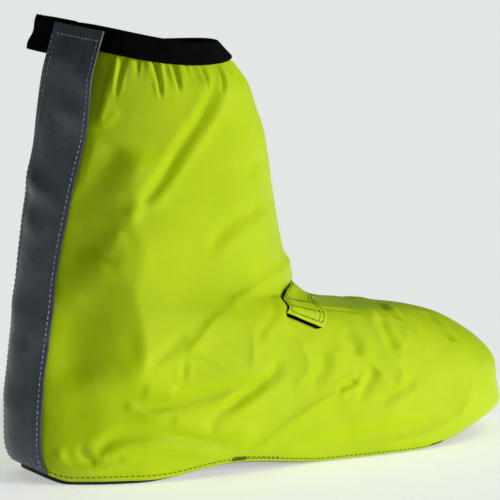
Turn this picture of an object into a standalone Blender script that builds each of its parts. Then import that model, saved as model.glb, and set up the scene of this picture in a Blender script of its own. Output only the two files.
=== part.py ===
"""A right cycling overshoe: a loose rain gaiter of coated fabric that goes over a shoe.

It is a hollow fabric upper gathered into an elastic cuff, a sole panel with an opening for
a pedal cleat, a closure strip up the back of the heel with its tab, and a strap over the
instep that closes on a hook tape. While it is modelled, x runs from the back of the heel to
the toe, y points to the inner side of the foot and z is the height above the floor, in
metres. The last step puts the origin under the middle of the whole overshoe.
"""

from functools import lru_cache
from math import cos, pi, radians, sin

import bmesh
import bpy
from mathutils import Vector

# The last that the overshoe is cut for
LENGTH = 0.306
HEIGHT = 0.232
BALL_WIDTH = 0.108
TOE_SPRING = 0.0105
HEEL_LIFT = 0.0075
ARCH_RISE = 0.0052

# Fabric and seams
FABRIC = 0.0012
CLEARANCE = 0.0003
SLACK = 0.0006

# Sole panel
SOLE_THICKNESS = 0.0025
SOLE_INSET = 0.0008
CLEAT_LENGTH = 0.078
CLEAT_WIDTH = 0.050

# Elastic cuff
CUFF_HEIGHT = 0.0118
CUFF_THICKNESS = 0.0016

# Closure strip up the back, which leans to the outer side at the cuff, and its tab there
CLOSURE_WIDTH = 0.040
CLOSURE_ASIDE = 0.0015
CLOSURE_TOP_ASIDE = 0.009
CLOSURE_TOP_SHIFT = 0.003
CLOSURE_THICKNESS = 0.0011
CLOSURE_TOP_GAP = 0.0022
CLOSURE_FOOT_GAP = 0.0020
TAB_HEIGHT = 0.0185
TAB_LENGTH = 0.034
TAB_FREE_LENGTH = 0.020
TAB_THICKNESS = 0.0018
TAB_TOP_GAP = 0.0003
TAB_SLANT = radians(3.5)

# Strap over the instep, and the hook tape under its end
STRAP_WIDTH = 0.019
STRAP_THICKNESS = 0.0013
HOOK_TAPE_LENGTH = 0.024
HOOK_TAPE_THICKNESS = 0.0014
HOOK_TAPE_OVERHANG = 0.0009
STRAP_END_SKEW = radians(2.6)

# Sections of the upper, from the rim at the sole up to the collar. "at" is the place on the
# way up. "back" and "front" place a section's two ends along the LENGTH, "back_z" and
# "front_z" give their heights as shares of the HEIGHT, and "dip" is how far its sides sag.
# The last five columns are the half width at five places from heel to toe, as shares of the
# BALL_WIDTH, before the sections' round ends take their share.
SECTIONS = [
    dict(at=0.00, back=0.050, back_z=0.028, front=0.965, front_z=0.040, dip=0.0,
         heel=0.56, quarter=0.50, waist=0.36, ball=0.545, toe=0.66),
    dict(at=0.04, back=0.036, back_z=0.060, front=1.003, front_z=0.066, dip=0.0,
         heel=0.59, quarter=0.53, waist=0.40, ball=0.585, toe=0.74),
    dict(at=0.10, back=0.034, back_z=0.130, front=1.003, front_z=0.122, dip=0.0,
         heel=0.58, quarter=0.54, waist=0.42, ball=0.580, toe=0.74),
    dict(at=0.18, back=0.037, back_z=0.210, front=0.995, front_z=0.184, dip=0.0,
         heel=0.56, quarter=0.53, waist=0.43, ball=0.550, toe=0.66),
    dict(at=0.26, back=0.044, back_z=0.295, front=0.946, front_z=0.242, dip=0.0,
         heel=0.53, quarter=0.51, waist=0.44, ball=0.480, toe=0.50),
    dict(at=0.34, back=0.052, back_z=0.370, front=0.830, front_z=0.309, dip=0.0,
         heel=0.50, quarter=0.49, waist=0.45, ball=0.410, toe=0.38),
    dict(at=0.42, back=0.060, back_z=0.440, front=0.650, front_z=0.340, dip=0.0,
         heel=0.49, quarter=0.48, waist=0.46, ball=0.400, toe=0.37),
    dict(at=0.46, back=0.064, back_z=0.475, front=0.584, front_z=0.358, dip=0.0,
         heel=0.48, quarter=0.48, waist=0.46, ball=0.420, toe=0.39),
    dict(at=0.50, back=0.068, back_z=0.510, front=0.545, front_z=0.404, dip=0.0,
         heel=0.48, quarter=0.47, waist=0.46, ball=0.440, toe=0.42),
    dict(at=0.60, back=0.077, back_z=0.590, front=0.525, front_z=0.530, dip=0.0,
         heel=0.47, quarter=0.47, waist=0.46, ball=0.455, toe=0.45),
    dict(at=0.72, back=0.090, back_z=0.700, front=0.506, front_z=0.670, dip=0.0,
         heel=0.45, quarter=0.45, waist=0.45, ball=0.450, toe=0.44),
    dict(at=0.84, back=0.110, back_z=0.810, front=0.482, front_z=0.790, dip=0.004,
         heel=0.43, quarter=0.43, waist=0.43, ball=0.430, toe=0.43),
    dict(at=0.93, back=0.134, back_z=0.905, front=0.447, front_z=0.880, dip=0.012,
         heel=0.40, quarter=0.41, waist=0.41, ball=0.410, toe=0.40),
    dict(at=1.00, back=0.156, back_z=0.990, front=0.397, front_z=0.950, dip=0.018,
         heel=0.375, quarter=0.385, waist=0.385, ball=0.380, toe=0.375),
]
WIDTHS = ("heel", "quarter", "waist", "ball", "toe")

# Underside of the sole: places along the LENGTH and how far each is off the floor
UNDERSIDE = [
    dict(along=0.03, rise=HEEL_LIFT),
    dict(along=0.10, rise=0.0),
    dict(along=0.20, rise=0.0),
    dict(along=0.37, rise=ARCH_RISE),
    dict(along=0.56, rise=0.0),
    dict(along=0.74, rise=0.0),
    dict(along=1.00, rise=TOE_SPRING),
]

# Bend of the foot's middle line to the inner side, as shares of the BALL_WIDTH
BEND = [
    dict(along=0.00, aside=0.0),
    dict(along=0.20, aside=0.0),
    dict(along=0.42, aside=-0.028),
    dict(along=0.65, aside=-0.010),
    dict(along=0.85, aside=0.037),
    dict(along=1.00, aside=0.074),
]

# Way of the instep strap, from its closed end on the outer side over the front to the
# inner side: "turn" in degrees round the upper from the back, "at" as in SECTIONS
STRAP_WAY = [
    dict(turn=98.5, at=0.340),
    dict(turn=118, at=0.414),
    dict(turn=140, at=0.458),
    dict(turn=180, at=0.474),
    dict(turn=222, at=0.450),
    dict(turn=262, at=0.340),
]

# Places along the LENGTH where the hem goes from on top of the sole to round its edge
HEM_ON_SOLE_TO = 0.20
HEM_ROUND_SOLE_FROM = 0.32
INSET_FROM = 0.12
INSET_FULL = 0.20
# Place up the upper where the sole's own ups and downs have faded out, and where the
# foot's bend begins and ends
RIM_FADE = 0.22
BEND_FULL = 0.20
BEND_NONE = 0.50
# Middle of the cleat opening, as a share of the LENGTH
CLEAT_MIDDLE = 0.665
# The closure strip turns flat and climbs over cuff and tab within this height under the tab
CLIMB = 0.045


def ease(share):
    """0 to 1 with level ends."""
    share = min(max(share, 0.0), 1.0)
    return share * share * (3 - 2 * share)


def curve(rows, key, value, x):
    """A smooth curve through a table's rows; it keeps going level beyond its ends."""
    x = min(max(x, rows[0][key]), rows[-1][key])
    last = len(rows) - 1
    k = next(i for i in range(last) if x <= rows[i + 1][key])
    x0, x1 = rows[k][key], rows[k + 1][key]
    y0, y1 = rows[k][value], rows[k + 1][value]
    before, after = rows[max(k - 1, 0)], rows[min(k + 2, last)]
    slope0 = (y1 - before[value]) / (x1 - before[key])
    slope1 = (after[value] - y0) / (after[key] - x0)
    step = x1 - x0
    s = (x - x0) / step
    rise = y0 + (y1 - y0) * ease(s)
    return rise + step * s * (1 - s) * (slope0 * (1 - s) - slope1 * s)


def plateaus(rows, key, value, x):
    """A curve through a table's rows that is level at each of them."""
    x = min(max(x, rows[0][key]), rows[-1][key])
    k = next(i for i in range(len(rows) - 1) if x <= rows[i + 1][key])
    low, high = rows[k], rows[k + 1]
    return low[value] + (high[value] - low[value]) * ease((x - low[key]) / (high[key] - low[key]))


def underside(x):
    """Height of the sole's underside above the floor."""
    return plateaus(UNDERSIDE, "along", "rise", x / LENGTH)


def hem_height(x):
    """Height of the upper's lower edge: on the sole at the heel, round its edge in front."""
    on_sole = SOLE_THICKNESS + CLEARANCE
    share = ease((x / LENGTH - HEM_ON_SOLE_TO) / (HEM_ROUND_SOLE_FROM - HEM_ON_SOLE_TO))
    return underside(x) + on_sole + (CLEARANCE - on_sole) * share


@lru_cache(maxsize=None)
def section(at):
    """The measures of the section at this place up the upper, and its half widths round it.
    The half widths go on past both ends in mirror image, which makes the curve level there."""
    measures = {name: curve(SECTIONS, "at", name, at) for name in SECTIONS[0] if name != "at"}
    step = pi / (len(WIDTHS) - 1)
    round_it = [dict(turn=step * k, half=measures[name]) for k, name in enumerate(WIDTHS)]
    past_heel = dict(turn=-step, half=measures[WIDTHS[1]])
    past_toe = dict(turn=pi + step, half=measures[WIDTHS[-2]])
    return measures, [past_heel, *round_it, past_toe]


def upper_point(turn, at):
    """A point of the upper's outer face. turn goes from the back (0) by the outer side to the
    front (pi), and with a minus sign by the inner side; at goes from the rim (0) to the collar (1)."""
    turn = (turn + pi) % (2 * pi) - pi
    ring, halves = section(at)
    share = (1 - cos(turn)) / 2
    x = LENGTH * (ring["back"] + (ring["front"] - ring["back"]) * share)
    z = HEIGHT * (ring["back_z"] + (ring["front_z"] - ring["back_z"]) * share)
    z -= HEIGHT * ring["dip"] * sin(turn) ** 2
    if at < RIM_FADE:
        rim = SECTIONS[0]
        rim_plane = HEIGHT * (rim["back_z"] + (rim["front_z"] - rim["back_z"]) * share)
        z += ease(1 - at / RIM_FADE) * (hem_height(x) - rim_plane)
    middle = 0.0
    if at < BEND_NONE:
        bend = ease((BEND_NONE - at) / (BEND_NONE - BEND_FULL))
        middle = BALL_WIDTH * bend * curve(BEND, "along", "aside", x / LENGTH)
    half = BALL_WIDTH * curve(halves, "turn", "half", abs(turn)) * sin(turn)
    return Vector((x, middle - half, z))


def skin(turn, at, out):
    """A point this far outside the upper's outer face."""
    nudge_turn, nudge_at = 0.02, 0.004
    below, above = max(at - nudge_at, 0.0), min(at + nudge_at, 1.0)
    round_it = upper_point(turn + nudge_turn, at) - upper_point(turn - nudge_turn, at)
    up_it = upper_point(turn, above) - upper_point(turn, below)
    return upper_point(turn, at) + round_it.cross(up_it).normalized() * out


@lru_cache(maxsize=None)
def turn_beside(at, distance):
    """The turn reached by walking this distance round a section from the back, plus outwards."""
    steps = 8
    nudge = 0.01
    turn = 0.0
    for _ in range(steps):
        speed = (upper_point(turn + nudge, at) - upper_point(turn - nudge, at)).length / (2 * nudge)
        turn += distance / steps / speed
    return turn


@lru_cache(maxsize=None)
def at_below_collar(turn, distance):
    """The place up the upper that lies this distance below the collar's edge."""
    low, high = SECTIONS[-4]["at"], 1.0
    edge = upper_point(turn, 1.0)
    for _ in range(24):
        middle = (low + high) / 2
        if (upper_point(turn, middle) - edge).length > distance:
            low = middle
        else:
            high = middle
    return (low + high) / 2


def material(name, colour, roughness, metallic=0.0):
    """A plain Principled material."""
    made = bpy.data.materials.new(name)
    made.use_nodes = True
    shader = made.node_tree.nodes["Principled BSDF"]
    shader.inputs["Base Color"].default_value = (*colour, 1.0)
    shader.inputs["Roughness"].default_value = roughness
    shader.inputs["Metallic"].default_value = metallic
    return made


def sheet(name, across, up, place, finish, closed=False):
    """A grid whose corners are placed by place(u, v), with u and v from 0 to 1."""
    mesh = bpy.data.meshes.new(name)
    grid = bmesh.new()
    bmesh.ops.create_grid(grid, x_segments=across, y_segments=up, size=0.5)
    for corner in grid.verts:
        corner.co = place(corner.co.x + 0.5, corner.co.y + 0.5)
    if closed:
        bmesh.ops.remove_doubles(grid, verts=grid.verts, dist=1e-6)
    grid.to_mesh(mesh)
    grid.free()
    mesh.shade_smooth()
    made = bpy.data.objects.new(name, mesh)
    bpy.context.scene.collection.objects.link(made)
    made.data.materials.append(finish)
    return made


def give_wall(piece, thickness):
    """Thickens a sheet inwards, away from the way its faces point."""
    wall = piece.modifiers.new("wall", "SOLIDIFY")
    wall.thickness = thickness
    wall.offset = -1.0
    wall.use_even_offset = True
    return piece


def make_upper(fabric):
    """The hollow fabric upper, open at the collar and underneath."""
    def place(u, v):
        return upper_point(2 * pi * u, v)

    return give_wall(sheet("upper", 54, 35, place, fabric, closed=True), FABRIC)


def sole_edge(turn):
    """The sole's outline: as wide as the hem at the heel, inside it in front."""
    nudge = 0.01
    rim = upper_point(turn, 0.0)
    along = upper_point(turn + nudge, 0.0) - upper_point(turn - nudge, 0.0)
    inwards = Vector((-along.y, along.x, 0.0)).normalized()
    share = ease((rim.x / LENGTH - INSET_FROM) / (INSET_FULL - INSET_FROM))
    return rim + inwards * share * (FABRIC + SOLE_INSET)


def make_cleat_cutter(opening_middle):
    """A rounded prism that cuts the cleat opening."""
    mesh = bpy.data.meshes.new("cleat_cutter")
    prism = bmesh.new()
    ring = bmesh.ops.create_circle(prism, cap_ends=True, segments=40, radius=1.0)
    roundness = 0.62
    for corner in ring["verts"]:
        side = [abs(c) ** roundness * (1 if c > 0 else -1) for c in corner.co.xy]
        corner.co.x = side[0] * CLEAT_LENGTH / 2
        corner.co.y = side[1] * CLEAT_WIDTH / 2
    reach = TOE_SPRING + SOLE_THICKNESS
    sides = bmesh.ops.extrude_face_region(prism, geom=prism.faces[:])
    top = [item for item in sides["geom"] if isinstance(item, bmesh.types.BMVert)]
    bmesh.ops.translate(prism, verts=top, vec=(0, 0, 2 * reach))
    bmesh.ops.translate(prism, verts=prism.verts, vec=(0, 0, -reach))
    bmesh.ops.recalc_face_normals(prism, faces=prism.faces)
    prism.to_mesh(mesh)
    prism.free()
    cutter = bpy.data.objects.new("cleat_cutter", mesh)
    bpy.context.scene.collection.objects.link(cutter)
    cutter.location = opening_middle
    cutter.hide_render = True
    cutter.display_type = "WIRE"
    return cutter


def make_sole(rubber):
    """The sole panel: flat under heel and ball, hollow at the arch, turned up at the toe."""
    def place(u, v):
        outer, inner = sole_edge(pi * u), sole_edge(-pi * u)
        spot = outer.lerp(inner, v)
        return Vector((spot.x, spot.y, underside(spot.x)))

    sole = sheet("sole", 40, 8, place, rubber, closed=True)
    slab = bmesh.new()
    slab.from_mesh(sole.data)
    sides = bmesh.ops.extrude_face_region(slab, geom=slab.faces[:])
    top = [item for item in sides["geom"] if isinstance(item, bmesh.types.BMVert)]
    bmesh.ops.translate(slab, verts=top, vec=(0, 0, SOLE_THICKNESS))
    bmesh.ops.recalc_face_normals(slab, faces=slab.faces)
    slab.to_mesh(sole.data)
    slab.free()
    sole.data.set_sharp_from_angle(angle=radians(40))

    middle = LENGTH * CLEAT_MIDDLE
    aside = BALL_WIDTH * curve(BEND, "along", "aside", CLEAT_MIDDLE)
    cut = sole.modifiers.new("cleat opening", "BOOLEAN")
    cut.operation = "DIFFERENCE"
    cut.object = make_cleat_cutter(Vector((middle, aside, 0.0)))
    return sole


def make_cuff(elastic):
    """The elastic band round the collar."""
    def place(u, v):
        turn = 2 * pi * u
        low = at_below_collar(turn, CUFF_HEIGHT)
        return skin(turn, low + (1 - low) * v, CLEARANCE + CUFF_THICKNESS)

    return give_wall(sheet("cuff_band", 54, 2, place, elastic, closed=True), CUFF_THICKNESS)


def closure_out(share):
    """How far the strip's inner face stands off the upper, before (0) and after (1) its climb."""
    return CLEARANCE + (2 * CLEARANCE + CUFF_THICKNESS + TAB_THICKNESS) * share


def closure_plane():
    """The flat plane on the cuff's back that the strip's top and the tab lie in: its origin on the
    collar's edge and its directions to the outer side, up and out, turned by the tab's slant."""
    turn = turn_beside(1.0, CLOSURE_TOP_ASIDE)
    low = at_below_collar(turn, CUFF_HEIGHT)
    edge = upper_point(turn, 1.0)
    up = (edge - upper_point(turn, low)).normalized()
    out = (skin(turn, (1 + low) / 2, 1.0) - skin(turn, (1 + low) / 2, 0.0)).normalized()
    across = up.cross(out).normalized()
    out = across.cross(up)
    slanted = across * cos(TAB_SLANT) - up * sin(TAB_SLANT)
    return edge, slanted, out.cross(slanted), out, up


def make_closure_strip(reflective):
    """The reflective strip over the back opening, round at the heel and flat at the cuff."""
    foot = CLOSURE_FOOT_GAP / (upper_point(0.0, 1.0) - upper_point(0.0, 0.0)).length
    top = at_below_collar(0.0, CLOSURE_TOP_GAP)
    tab_foot = TAB_HEIGHT - TAB_TOP_GAP + TAB_LENGTH * sin(TAB_SLANT)
    full = max(CUFF_HEIGHT, tab_foot) + SLACK
    edge, across, _, out, up = closure_plane()

    def place(u, v):
        at = foot + (top - foot) * v
        aside = CLOSURE_WIDTH * (u - 0.5)
        top_aside = CLOSURE_TOP_ASIDE + CLOSURE_TOP_SHIFT
        middle = CLOSURE_ASIDE + (top_aside - CLOSURE_ASIDE) * ease(at) ** 2
        below = (upper_point(0.0, 1.0) - upper_point(0.0, at)).length
        climbed = ease(1 - (below - full) / CLIMB)
        off = closure_out(climbed) + CLOSURE_THICKNESS
        on_upper = skin(turn_beside(at, middle + aside), at, off)
        in_plane = edge + across * (CLOSURE_TOP_SHIFT + aside) - up * below + out * off
        return on_upper.lerp(in_plane, climbed)

    return give_wall(sheet("closure_strip", 8, 40, place, reflective), CLOSURE_THICKNESS)


def make_closure_tab(hook):
    """The tab that holds the cuff shut: it comes out from under the strip to the inner side."""
    inner_end = CLOSURE_TOP_SHIFT - CLOSURE_WIDTH / 2 - TAB_FREE_LENGTH
    edge, across, tab_up, out, up = closure_plane()
    middle = edge + up * (TAB_TOP_GAP - TAB_HEIGHT / 2) + out * (closure_out(1) - CLEARANCE)

    def place(u, v):
        return middle + across * (inner_end + TAB_LENGTH * u) + tab_up * TAB_HEIGHT * (v - 0.5)

    return give_wall(sheet("closure_tab", 2, 2, place, hook), TAB_THICKNESS)


def strap_spot(u, v, width, out):
    """A point of the instep strap: u goes along its way and v across it. The strap is pulled
    straight across a hollow, and its closed end is cut a little askew."""
    first, last = STRAP_WAY[0]["turn"], STRAP_WAY[-1]["turn"]
    degrees = first + (last - first) * u
    turn = radians(degrees)
    at = curve(STRAP_WAY, "turn", "at", degrees)
    nudge = 0.022
    speed = (upper_point(turn, at + nudge) - upper_point(turn, at - nudge)).length / (2 * nudge)
    skew = STRAP_END_SKEW * (1 - u) ** 2

    def on_upper(v, out):
        return skin(turn + skew * (0.5 - v), at + width * (v - 0.5) / speed, out)

    straight = on_upper(0, out).lerp(on_upper(1, out), v)
    outwards = on_upper(v, 1.0) - on_upper(v, 0.0)
    return straight + outwards * max((on_upper(v, out) - straight).dot(outwards), 0.0)


def strap_share(length):
    """Share of the strap's way that is this long, from its closed end."""
    steps = 100
    walked = 0.0
    for k in range(steps):
        walked += (strap_spot((k + 1) / steps, 0.5, 0, 0) - strap_spot(k / steps, 0.5, 0, 0)).length
        if walked >= length:
            return (k + 1) / steps
    return 1.0


def make_instep_strap(fabric):
    """The strap over the instep, raised by the hook tape at its closed end."""
    taped = strap_share(HOOK_TAPE_LENGTH)
    landed = strap_share(HOOK_TAPE_LENGTH * 1.8)

    def place(u, v):
        raised = 1 - ease((u - taped) / (landed - taped))
        out = SLACK + STRAP_THICKNESS + (HOOK_TAPE_THICKNESS + SLACK) * raised
        return strap_spot(u, v, STRAP_WIDTH, out)

    return give_wall(sheet("instep_strap", 32, 4, place, fabric), STRAP_THICKNESS)


def make_hook_tape(hook):
    """The hook tape between the strap's end and the upper, a little proud of the strap."""
    taped = strap_share(HOOK_TAPE_LENGTH)
    overhang = HOOK_TAPE_OVERHANG / HOOK_TAPE_LENGTH * taped

    def place(u, v):
        along = -overhang + (taped + overhang) * u
        width = STRAP_WIDTH + HOOK_TAPE_OVERHANG
        return strap_spot(along, v, width, SLACK + HOOK_TAPE_THICKNESS)

    return give_wall(sheet("strap_hook_tape", 10, 4, place, hook), HOOK_TAPE_THICKNESS)


def stand_over_origin(pieces):
    """Hangs the pieces on an empty so that the origin is under the middle of their box."""
    bpy.context.view_layer.update()
    seen = bpy.context.evaluated_depsgraph_get()
    corners = [
        piece.matrix_world @ Vector(corner)
        for piece in pieces
        for corner in piece.evaluated_get(seen).bound_box
    ]
    low = Vector(min(c[k] for c in corners) for k in range(3))
    high = Vector(max(c[k] for c in corners) for k in range(3))
    stand = bpy.data.objects.new("overshoe", None)
    bpy.context.scene.collection.objects.link(stand)
    stand.location = Vector((-(low.x + high.x) / 2, -(low.y + high.y) / 2, -low.z))
    for piece in bpy.context.scene.objects:
        if piece is not stand:
            piece.parent = stand


def main():
    for old in list(bpy.data.objects):
        bpy.data.objects.remove(old)
    fabric = material("coated_fabric", (0.50, 0.72, 0.01), 0.45)
    rubber = material("sole_panel", (0.012, 0.012, 0.013), 0.75)
    elastic = material("elastic_webbing", (0.006, 0.006, 0.007), 0.85)
    reflective = material("reflective_fabric", (0.055, 0.066, 0.080), 0.40)
    hook = material("hook_tape", (0.006, 0.006, 0.007), 0.90)
    pieces = [
        make_upper(fabric),
        make_sole(rubber),
        make_cuff(elastic),
        make_closure_strip(reflective),
        make_closure_tab(hook),
        make_instep_strap(fabric),
        make_hook_tape(hook),
    ]
    stand_over_origin(pieces)


main()
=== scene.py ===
"""Looks of a right cycling overshoe: coated fabric gathered into an elastic cuff, with a
reflective strip up the back, a strap over the instep and a black sole panel.

The pieces are shaped in the shoe's own coordinates, in metres: x runs from the back of the
heel to the toe, y to the inner side of the foot and z up from the floor. own_to_row then
moves each mesh to the frame of the CAD solids.
"""

from math import cos, pi, radians, sin
from typing import NamedTuple

import bmesh
import bpy
import numpy as np
from mathutils import Matrix, Vector


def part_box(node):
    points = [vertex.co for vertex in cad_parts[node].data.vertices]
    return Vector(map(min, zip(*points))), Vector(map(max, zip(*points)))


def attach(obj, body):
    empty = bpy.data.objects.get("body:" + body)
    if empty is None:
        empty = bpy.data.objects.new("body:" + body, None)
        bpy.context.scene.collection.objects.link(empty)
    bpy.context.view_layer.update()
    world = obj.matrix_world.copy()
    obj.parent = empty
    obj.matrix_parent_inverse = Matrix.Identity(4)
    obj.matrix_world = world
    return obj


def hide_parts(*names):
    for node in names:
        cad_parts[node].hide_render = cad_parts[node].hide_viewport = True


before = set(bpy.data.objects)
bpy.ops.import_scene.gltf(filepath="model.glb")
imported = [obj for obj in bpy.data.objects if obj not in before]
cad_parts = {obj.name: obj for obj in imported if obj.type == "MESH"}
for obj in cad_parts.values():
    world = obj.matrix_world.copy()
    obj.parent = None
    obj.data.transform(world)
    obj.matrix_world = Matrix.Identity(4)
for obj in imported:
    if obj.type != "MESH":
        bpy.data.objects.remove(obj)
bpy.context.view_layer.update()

MM = 0.001
MEETING = 1e-6

# The last that the overshoe is cut for
LENGTH = 0.306
HEIGHT = 0.232
BALL_WIDTH = 0.108
TOE_SPRING = 0.0105
HEEL_LIFT = 0.0075
ARCH_RISE = 0.0052

FABRIC = 0.0012
CLEARANCE = 0.0003
SLACK = 0.0006

SOLE_THICKNESS = 0.0025
SOLE_INSET = 0.0008
CLEAT_LENGTH = 0.078
CLEAT_WIDTH = 0.050
CLEAT_MIDDLE = 0.665

CUFF_HEIGHT = 0.0118
CUFF_THICKNESS = 0.0016

CLOSURE_WIDTH = 0.040
CLOSURE_ASIDE = 0.0015
CLOSURE_TOP_ASIDE = 0.009
CLOSURE_TOP_SHIFT = 0.003
CLOSURE_THICKNESS = 0.0011
CLOSURE_TOP_GAP = 0.0022
CLOSURE_FOOT_GAP = 0.0020
CLIMB = 0.045
TAB_HEIGHT = 0.0185
TAB_LENGTH = 0.034
TAB_FREE_LENGTH = 0.020
TAB_THICKNESS = 0.0018
TAB_TOP_GAP = 0.0003
TAB_SLANT = radians(3.5)

STRAP_WIDTH = 0.019
HOOK_TAPE_LENGTH = 0.024
HOOK_TAPE_OVERHANG = 0.0009
STRAP_END_SKEW = radians(2.6)
STRAP_CLOTH = 0.0010
TAPE_CLOTH = 0.0009
EDGE_ROUNDING = 0.0003

HEM_UP_SOLE = 0.0017
HEM_ON_SOLE_TO = 0.17
HEM_ROUND_SOLE_FROM = 0.28
RIM_FADE = 0.22
BEND_FULL = 0.20
BEND_NONE = 0.50

# Relief of the fabric: places up the upper are shares of the way from rim to collar
UNEVEN_FADES = (0.12, 0.10)
PUFF_OUT = 0.0013
PUFF_AT = 0.905
PUFF_SPREAD = 0.030
PUCKERS_OUT = 0.00034
PUCKERS_FROM = 0.895
PUCKERS_FULL = 0.050
CUFF_HOLDS_FROM = 0.964
CUFF_HOLDS_OVER = 0.012
SEAM_HOLDS = 0.75
SEAM_HOLDS_OVER = 0.03
TOE_TIP_OUT = 0.0030
TOE_TIP_AT = 0.035
TOE_TIP_SPREAD = 0.026
TOE_TIP_TURN = 0.42
HELD_BY_STRIP = 0.001
STRIP_EASES_OVER = 0.006
HELD_BESIDE_STRAP = 0.0006
STRAP_EASES_OVER = 0.0022
STRAP_TUCKED = 0.0024
TUCKED_FROM = 0.16
TUCKED_OVER = 0.14
CREASE_REACH = 5
CREASE_FADES = (0.20, 0.28)
LIP_AWAY = 1.7
LIP_SPREAD = 1.1
FOLD_REACH = 4.5
FOLD_FADES = (0.12, 0.16)
FOLD_TAPER = 0.6
INNER_TURN_DRIFT = 5
INNER_UP_DRIFT = 0.05

# Sections of the upper from the rim at the sole up to the collar, as in the CAD solid
SECTION = ("at", "back", "back_z", "front", "front_z", "dip", "heel", "quarter", "waist", "ball", "toe")
SECTIONS = [dict(zip(SECTION, row)) for row in [
    (.00, .050, .028, .965, .040, .000, .560, .500, .360, .545, .660),
    (.04, .036, .060, 1.003, .066, .000, .590, .530, .400, .585, .740),
    (.10, .034, .130, 1.003, .122, .000, .580, .540, .420, .580, .740),
    (.18, .037, .210, .995, .184, .000, .560, .530, .430, .550, .660),
    (.26, .044, .295, .946, .242, .000, .530, .510, .440, .480, .500),
    (.34, .052, .370, .830, .309, .000, .500, .490, .450, .410, .380),
    (.42, .060, .440, .650, .340, .000, .490, .480, .460, .400, .370),
    (.46, .064, .475, .584, .358, .000, .480, .480, .460, .420, .390),
    (.50, .068, .510, .545, .404, .000, .480, .470, .460, .440, .420),
    (.60, .077, .590, .525, .530, .000, .470, .470, .460, .455, .450),
    (.72, .090, .700, .506, .670, .000, .450, .450, .450, .450, .440),
    (.84, .110, .810, .482, .790, .004, .430, .430, .430, .430, .430),
    (.93, .134, .905, .447, .880, .012, .400, .410, .410, .410, .400),
    (1.00, .156, .990, .397, .950, .018, .375, .385, .385, .380, .375),
]]
ROUND_THE_SECTION = ("quarter", "heel", "quarter", "waist", "ball", "toe", "ball")

# Rise of the sole's underside, bend of the foot's middle line, and way of the instep strap
UNDERSIDE = [(0.03, HEEL_LIFT), (0.10, 0.0), (0.20, 0.0), (0.37, ARCH_RISE), (0.56, 0.0),
             (0.74, 0.0), (1.00, TOE_SPRING)]
BEND = [(0.00, 0.0), (0.20, 0.0), (0.42, -0.028), (0.65, -0.010), (0.85, 0.037), (1.00, 0.074)]
STRAP_WAY = [(98.5, 0.340), (118, 0.414), (140, 0.458), (180, 0.474), (222, 0.450), (262, 0.340)]


class Crease(NamedTuple):
    """A soft trough, or a ridge where its depth has a minus sign. It runs along a way of
    (degrees round from the back, thousandths of the way up). Its width and depth are in
    millimetres. The fabric rises again beside it by left and right times its depth, seen along
    its way from outside. aside moves it to the left by that many of its widths, and end is the
    share of its width and depth that is left at its end."""
    way: list
    width: float
    depth: float
    left: float
    right: float
    aside: float = 0.0
    end: float = 1.0


class Fold(NamedTuple):
    """A crest: its height, how far it falls away on each side and how round it is, in
    millimetres at the start and at the end of its way."""
    way: list
    height: tuple
    left: tuple
    right: tuple
    crest: tuple = (0.5, 0.5)


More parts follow.
